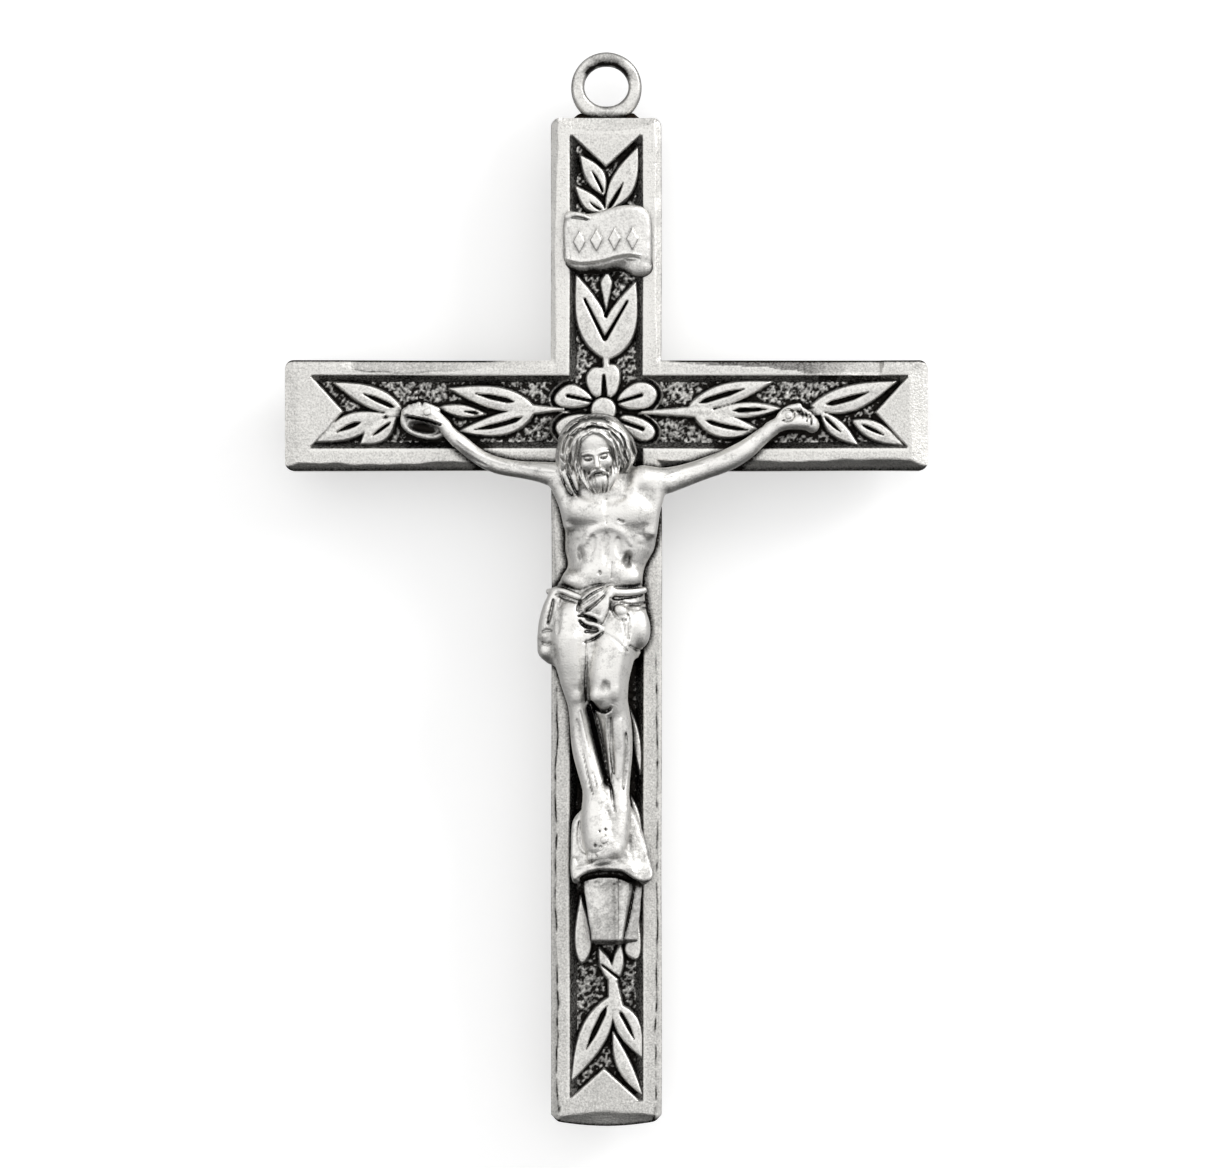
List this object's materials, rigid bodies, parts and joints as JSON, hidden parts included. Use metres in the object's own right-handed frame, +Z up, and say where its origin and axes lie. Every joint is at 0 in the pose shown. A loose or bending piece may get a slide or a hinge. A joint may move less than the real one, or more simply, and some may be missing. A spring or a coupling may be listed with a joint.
{
  "type": "crucifix pendant",
  "caption": "Small silver crucifix pendant: struck cross with a sunk vine-and-flower field, riveted cast figure, title scroll and foot rest, and a soldered hanging ring.",
  "frame": {"origin": "centre of the hanging ring's hole", "axes": "+Z up along the upright, towards the ring; -Y out of the cross's face; +X to the viewer's right; Y along the axis of the ring's hole"},
  "size_m": [0.0286, 0.0046, 0.0477],
  "materials": {
    "silver_plate": "satin",
    "silver_cast": "satin",
    "silver_ring": "satin",
    "dark_solder": "rough"
  },
  "bodies": {
    "root": {"cross_body": "silver_plate", "hanging_ring": "silver_ring", "ring_solder": "dark_solder", "title_scroll": "silver_cast", "scroll_peg": "silver_cast", "corpus": "silver_cast", "hand_rivets": "silver_cast", "foot_rest": "silver_cast", "foot_rivet": "silver_cast"}
  },
  "joints": []
}
